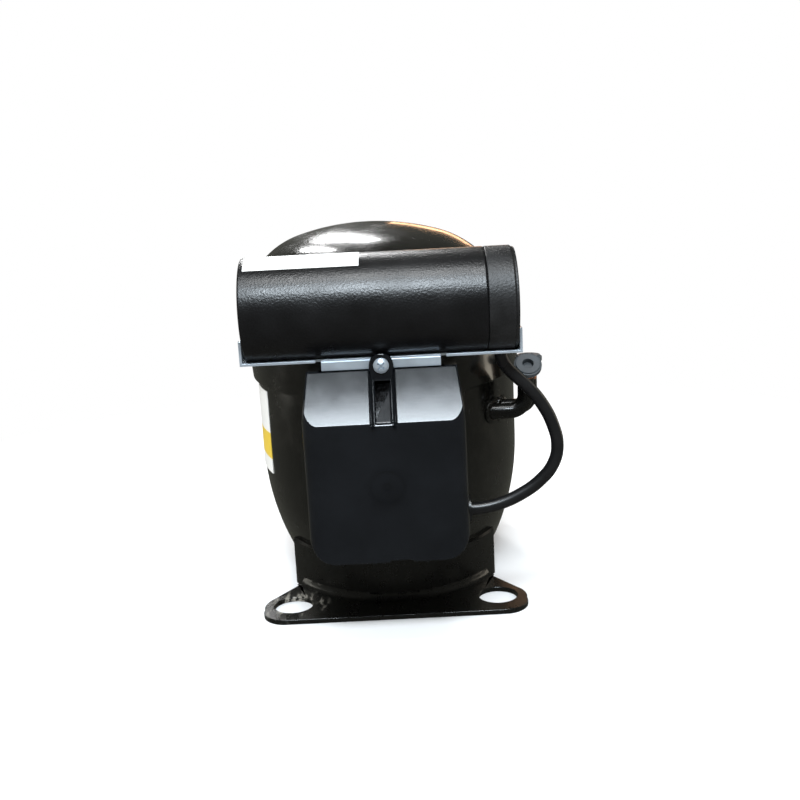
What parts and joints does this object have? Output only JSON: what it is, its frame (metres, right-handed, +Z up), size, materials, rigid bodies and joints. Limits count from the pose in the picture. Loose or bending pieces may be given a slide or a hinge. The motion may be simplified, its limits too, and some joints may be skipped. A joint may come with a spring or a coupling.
{
  "type": "hermetic reciprocating compressor",
  "caption": "Hermetic reciprocating compressor: black oval welded shell on two feet, with a terminal cover, a bracket-mounted start capacitor, its lead and plugged service tubes.",
  "frame": {"origin": "centre of the four-hole base pattern on the underside of the feet", "axes": "+Z up along the crankshaft; the terminal cover and capacitor face -Y; +X to the right seen from that side"},
  "size_m": [0.1549, 0.2396, 0.1843],
  "materials": {
    "shell_paint": "gloss black enamel over steel",
    "copper": "bare copper",
    "zinc_plate": "bright zinc plate",
    "bright_steel": "ground steel",
    "dark_steel": "oiled steel",
    "cast_iron": "as cast",
    "cover_plastic": "fine moulded grain",
    "bakelite": "moulded phenolic, satin",
    "cable_jacket": "smooth black jacket",
    "plug_rubber": "grey rubber",
    "label_film": "blank printed film",
    "white_plastic": "moulded",
    "glass_seal": "fused glass bead",
    "aluminium": "die cast or foil",
    "gasket": "fibre sheet"
  },
  "bodies": {
    "shell_assembly": {"lower_shell": "shell_paint", "upper_shell": "shell_paint", "front_foot": "shell_paint", "rear_foot": "shell_paint", "spring_studs": "dark_steel", "rating_label": "label_film", "terminal_body": "dark_steel", "terminal_glass": "glass_seal", "terminal_pins": "bright_steel", "terminal_fence": "zinc_plate", "lead_plug": "white_plastic", "overload_protector": "cover_plastic", "relay_housing": "cover_plastic", "relay_coil": "copper", "terminal_cover": "cover_plastic", "cover_screw": "zinc_plate", "cable_gland": "cable_jacket", "capacitor_bracket": "zinc_plate", "capacitor_case": "bakelite", "capacitor_element": "aluminium", "capacitor_lid": "cover_plastic", "capacitor_terminals": "bright_steel", "bleed_resistor": "white_plastic", "capacitor_end_cap": "bakelite", "capacitor_label": "label_film", "capacitor_cable": "cable_jacket", "suction_tube": "shell_paint", "process_tube": "copper", "discharge_tube": "copper", "mount_springs": "bright_steel", "motor_leads": "white_plastic", "discharge_line": "copper"},
    "relay_plunger": {"relay_plunger": "dark_steel"},
    "suction_plug": {"suction_plug": "plug_rubber"},
    "process_plug": {"process_plug": "plug_rubber"},
    "discharge_plug": {"discharge_plug": "plug_rubber"},
    "pump_unit": {"crankcase": "cast_iron", "stator_core": "dark_steel", "stator_windings": "copper", "stator_bolts": "zinc_plate", "spring_caps": "cover_plastic", "thrust_washer": "bright_steel", "cylinder_gasket": "gasket", "valve_plate": "bright_steel", "reed_stop": "dark_steel", "head_gasket": "gasket", "cylinder_head": "cast_iron", "head_bolts": "zinc_plate", "suction_muffler": "white_plastic", "discharge_muffler": "bright_steel"},
    "suction_reed": {"suction_reed": "bright_steel"},
    "discharge_reed": {"discharge_reed": "bright_steel"},
    "crank": {"crankshaft": "dark_steel", "rotor_core": "dark_steel", "rotor_cage": "aluminium", "oil_pickup": "bright_steel"},
    "gallery_plug": {"gallery_plug": "bright_steel"},
    "slide_block": {"slide_block": "bright_steel"},
    "piston": {"piston": "bright_steel"}
  },
  "joints": [
    {"name": "pump_bounce", "type": "slide", "parent": "shell_assembly", "child": "pump_unit", "axis": [0, 0, 1], "range_m": [-0.0025, 0.0025], "stiffness_N_per_m": 20000, "springref_m": 0.00209, "deforming": ["mount_springs", "discharge_line", "motor_leads"]},
    {"name": "crank_spin", "type": "hinge", "parent": "pump_unit", "child": "crank", "pos_m": [0, -0.012, 0.121], "axis": [0, 0, 1], "continuous": true},
    {"name": "gallery_plug_turn", "type": "hinge", "parent": "crank", "child": "gallery_plug", "pos_m": [0, -0.008, 0.144], "axis": [0, 0, 1], "continuous": true},
    {"name": "piston_turn", "type": "hinge", "parent": "gallery_plug", "child": "piston", "pos_m": [0, -0.004, 0.138], "axis": [0, 0, 1], "continuous": true},
    {"name": "slide_block_turn", "type": "hinge", "parent": "crank", "child": "slide_block", "pos_m": [0, -0.004, 0.138], "axis": [0, 0, 1], "continuous": true},
    {"name": "suction_reed_lift", "type": "hinge", "parent": "pump_unit", "child": "suction_reed", "pos_m": [0, 0.04155, 0.127], "axis": [1, 0, 0], "range_deg": [0, 1.5], "stiffness_Nm_per_rad": 0.004},
    {"name": "discharge_reed_lift", "type": "hinge", "parent": "pump_unit", "child": "discharge_reed", "pos_m": [0, 0.04426, 0.1255], "axis": [-1, 0, 0], "range_deg": [0, 3.5], "stiffness_Nm_per_rad": 0.004},
    {"name": "relay_plunger_travel", "type": "slide", "parent": "shell_assembly", "child": "relay_plunger", "axis": [0, 0, 1], "range_m": [0, 0.005]},
    {"name": "suction_plug_pull", "type": "slide", "parent": "shell_assembly", "child": "suction_plug", "axis": [0, -0.682, 0.7314], "range_m": [0, 0.04]},
    {"name": "process_plug_pull", "type": "slide", "parent": "shell_assembly", "child": "process_plug", "axis": [0, 0, 1], "range_m": [0, 0.04]},
    {"name": "discharge_plug_pull", "type": "slide", "parent": "shell_assembly", "child": "discharge_plug", "axis": [0, 0.5, 0.866], "range_m": [0, 0.04]}
  ],
  "couplings": [
    {"joint": "gallery_plug_turn", "follows": "crank_spin", "ratio": -2},
    {"joint": "piston_turn", "follows": "crank_spin", "ratio": 1},
    {"joint": "slide_block_turn", "follows": "crank_spin", "ratio": -1}
  ]
}
